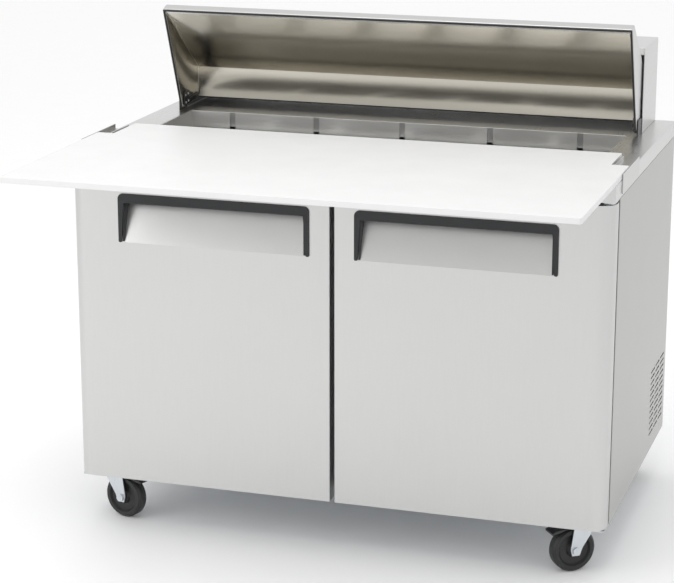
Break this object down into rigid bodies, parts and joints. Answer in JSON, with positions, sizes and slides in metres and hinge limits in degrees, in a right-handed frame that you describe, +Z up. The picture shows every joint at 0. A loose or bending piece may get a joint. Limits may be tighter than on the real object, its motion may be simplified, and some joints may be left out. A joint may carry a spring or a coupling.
{
  "type": "sandwich prep table",
  "caption": "Refrigerated sandwich prep table: doored cabinet on casters, food pans under a fold-back insulated lid and a deep white cutting board.",
  "frame": {"origin": "under the middle of the bounding box, on the floor", "axes": "+X along the front to the right, +Y to the back, +Z up"},
  "size_m": [1.23, 1.112, 1.1464],
  "materials": {
    "stainless": "satin",
    "mirror_steel": "bright annealed",
    "inner_liner": "satin",
    "board_plastic": "fine grain",
    "handle_plastic": "moulded texture",
    "black_steel": "satin",
    "seal_rubber": "matt",
    "tyre_rubber": "matt",
    "zinc": "bright zinc",
    "shelf_wire": "epoxy",
    "coil_aluminium": "bare",
    "compressor_paint": "gloss",
    "fan_plastic": "moulded",
    "grey_plastic": "moulded",
    "pan_steel": "bright"
  },
  "bodies": {
    "cabinet": {"base_pan": "zinc", "side_panel_left": "stainless", "side_panel_right": "stainless", "back_panel": "zinc", "cabinet_walls": "inner_liner", "front_frame": "inner_liner", "deck_top": "stainless", "pan_well": "mirror_steel", "divider_bars": "mirror_steel", "rear_housing": "stainless", "lid_brackets": "black_steel", "board_bracket_left": "stainless", "board_bracket_right": "stainless", "door_hinges": "zinc", "shelf_supports": "zinc", "caster_plates": "zinc", "compressor": "compressor_paint", "condenser_coil": "coil_aluminium", "fan_motor": "black_steel", "evaporator": "grey_plastic", "cord_gland": "fan_plastic"},
    "lid": {"lid_shell": "stainless", "lid_liner": "mirror_steel", "lid_gasket": "seal_rubber", "lid_hinge_plates": "black_steel"},
    "board": {"cutting_board": "board_plastic"},
    "door_left": {"door_shell_left": "stainless", "door_liner_left": "grey_plastic", "door_gasket_left": "seal_rubber", "door_handle_left": "handle_plastic"},
    "door_right": {"door_shell_right": "stainless", "door_liner_right": "grey_plastic", "door_gasket_right": "seal_rubber", "door_handle_right": "handle_plastic"},
    "shelf_left": {"wire_shelf_left": "shelf_wire"},
    "shelf_right": {"wire_shelf_right": "shelf_wire"},
    "condenser_fan": {"condenser_fan": "fan_plastic"},
    "evaporator_fan": {"evaporator_fan": "fan_plastic"},
    "pan_f1": {"food_pan_f1": "pan_steel"},
    "pan_f2": {"food_pan_f2": "pan_steel"},
    "pan_f3": {"food_pan_f3": "pan_steel"},
    "pan_f4": {"food_pan_f4": "pan_steel"},
    "pan_f5": {"food_pan_f5": "pan_steel"},
    "pan_f6": {"food_pan_f6": "pan_steel"},
    "pan_r1": {"food_pan_r1": "pan_steel"},
    "pan_r2": {"food_pan_r2": "pan_steel"},
    "pan_r3": {"food_pan_r3": "pan_steel"},
    "pan_r4": {"food_pan_r4": "pan_steel"},
    "pan_r5": {"food_pan_r5": "pan_steel"},
    "pan_r6": {"food_pan_r6": "pan_steel"},
    "caster_front_left": {"caster_fork_front_left": "zinc"},
    "wheel_front_left": {"caster_wheel_front_left": "tyre_rubber"},
    "brake_front_left": {"caster_brake_front_left": "black_steel"},
    "caster_front_right": {"caster_fork_front_right": "zinc"},
    "wheel_front_right": {"caster_wheel_front_right": "tyre_rubber"},
    "brake_front_right": {"caster_brake_front_right": "black_steel"},
    "caster_rear_left": {"caster_fork_rear_left": "zinc"},
    "wheel_rear_left": {"caster_wheel_rear_left": "tyre_rubber"},
    "caster_rear_right": {"caster_fork_rear_right": "zinc"},
    "wheel_rear_right": {"caster_wheel_rear_right": "tyre_rubber"}
  },
  "joints": [
    {"name": "door_left_hinge", "type": "hinge", "parent": "cabinet", "child": "door_left", "pos_m": [-0.5925, -0.18, 0.119], "axis": [0, 0, 1], "range_deg": [-110, 0]},
    {"name": "door_right_hinge", "type": "hinge", "parent": "cabinet", "child": "door_right", "pos_m": [0.5925, -0.18, 0.119], "axis": [0, 0, 1], "range_deg": [0, 110]},
    {"name": "lid_hinge", "type": "hinge", "parent": "cabinet", "child": "lid", "pos_m": [0, 0.347, 0.902], "axis": [1, 0, 0], "range_deg": [0, 68]},
    {"name": "board_lift", "type": "slide", "parent": "cabinet", "child": "board", "axis": [0, 0, 1], "range_m": [0, 0.15]},
    {"name": "shelf_left_lift", "type": "slide", "parent": "cabinet", "child": "shelf_left", "axis": [0, 0, 1], "range_m": [0, 0.02]},
    {"name": "shelf_right_lift", "type": "slide", "parent": "cabinet", "child": "shelf_right", "axis": [0, 0, 1], "range_m": [0, 0.02]},
    {"name": "pan_f1_lift", "type": "slide", "parent": "cabinet", "child": "pan_f1", "axis": [0, 0, 1], "range_m": [0, 0.03]},
    {"name": "pan_f2_lift", "type": "slide", "parent": "cabinet", "child": "pan_f2", "axis": [0, 0, 1], "range_m": [0, 0.03]},
    {"name": "pan_f3_lift", "type": "slide", "parent": "cabinet", "child": "pan_f3", "axis": [0, 0, 1], "range_m": [0, 0.03]},
    {"name": "pan_f4_lift", "type": "slide", "parent": "cabinet", "child": "pan_f4", "axis": [0, 0, 1], "range_m": [0, 0.03]},
    {"name": "pan_f5_lift", "type": "slide", "parent": "cabinet", "child": "pan_f5", "axis": [0, 0, 1], "range_m": [0, 0.03]},
    {"name": "pan_f6_lift", "type": "slide", "parent": "cabinet", "child": "pan_f6", "axis": [0, 0, 1], "range_m": [0, 0.03]},
    {"name": "pan_r1_lift", "type": "slide", "parent": "cabinet", "child": "pan_r1", "axis": [0, 0, 1], "range_m": [0, 0.03]},
    {"name": "pan_r2_lift", "type": "slide", "parent": "cabinet", "child": "pan_r2", "axis": [0, 0, 1], "range_m": [0, 0.03]},
    {"name": "pan_r3_lift", "type": "slide", "parent": "cabinet", "child": "pan_r3", "axis": [0, 0, 1], "range_m": [0, 0.03]},
    {"name": "pan_r4_lift", "type": "slide", "parent": "cabinet", "child": "pan_r4", "axis": [0, 0, 1], "range_m": [0, 0.03]},
    {"name": "pan_r5_lift", "type": "slide", "parent": "cabinet", "child": "pan_r5", "axis": [0, 0, 1], "range_m": [0, 0.03]},
    {"name": "pan_r6_lift", "type": "slide", "parent": "cabinet", "child": "pan_r6", "axis": [0, 0, 1], "range_m": [0, 0.03]},
    {"name": "caster_front_left_swivel", "type": "hinge", "parent": "cabinet", "child": "caster_front_left", "pos_m": [-0.5485, -0.128, 0.1078], "axis": [0, 0, 1], "continuous": true},
    {"name": "wheel_front_left_spin", "type": "hinge", "parent": "caster_front_left", "child": "wheel_front_left", "pos_m": [-0.52725, -0.13369, 0.0508], "axis": [0.2588, 0.9659, 0], "continuous": true},
    {"name": "brake_front_left_tip", "type": "hinge", "parent": "caster_front_left", "child": "brake_front_left", "pos_m": [-0.51856, -0.13602, 0.1014], "axis": [0.2588, 0.9659, 0], "range_deg": [0, 12]},
    {"name": "caster_front_right_swivel", "type": "hinge", "parent": "cabinet", "child": "caster_front_right", "pos_m": [0.5485, -0.128, 0.1078], "axis": [0, 0, 1], "continuous": true},
    {"name": "wheel_front_right_spin", "type": "hinge", "parent": "caster_front_right", "child": "wheel_front_right", "pos_m": [0.53116, -0.14155, 0.0508], "axis": [0.6157, -0.788, 0], "continuous": true},
    {"name": "brake_front_right_tip", "type": "hinge", "parent": "caster_front_right", "child": "brake_front_right", "pos_m": [0.52407, -0.14709, 0.1014], "axis": [0.6157, -0.788, 0], "range_deg": [0, 12]},
    {"name": "caster_rear_left_swivel", "type": "hinge", "parent": "cabinet", "child": "caster_rear_left", "pos_m": [-0.5485, 0.478, 0.1078], "axis": [0, 0, 1], "continuous": true},
    {"name": "wheel_rear_left_spin", "type": "hinge", "parent": "caster_rear_left", "child": "wheel_rear_left", "pos_m": [-0.5578, 0.49794, 0.0508], "axis": [-0.9063, -0.4226, 0], "continuous": true},
    {"name": "caster_rear_right_swivel", "type": "hinge", "parent": "cabinet", "child": "caster_rear_right", "pos_m": [0.5485, 0.478, 0.1078], "axis": [0, 0, 1], "continuous": true},
    {"name": "wheel_rear_right_spin", "type": "hinge", "parent": "caster_rear_right", "child": "wheel_rear_right", "pos_m": [0.54468, 0.49967, 0.0508], "axis": [-0.9848, -0.1736, 0], "continuous": true},
    {"name": "condenser_fan_spin", "type": "hinge", "parent": "cabinet", "child": "condenser_fan", "pos_m": [0.33, 0.431, 0.229], "axis": [1, 0, 0], "continuous": true},
    {"name": "evaporator_fan_spin", "type": "hinge", "parent": "cabinet", "child": "evaporator_fan", "pos_m": [0, 0.4275, 0.652], "axis": [0, 1, 0], "continuous": true}
  ]
}
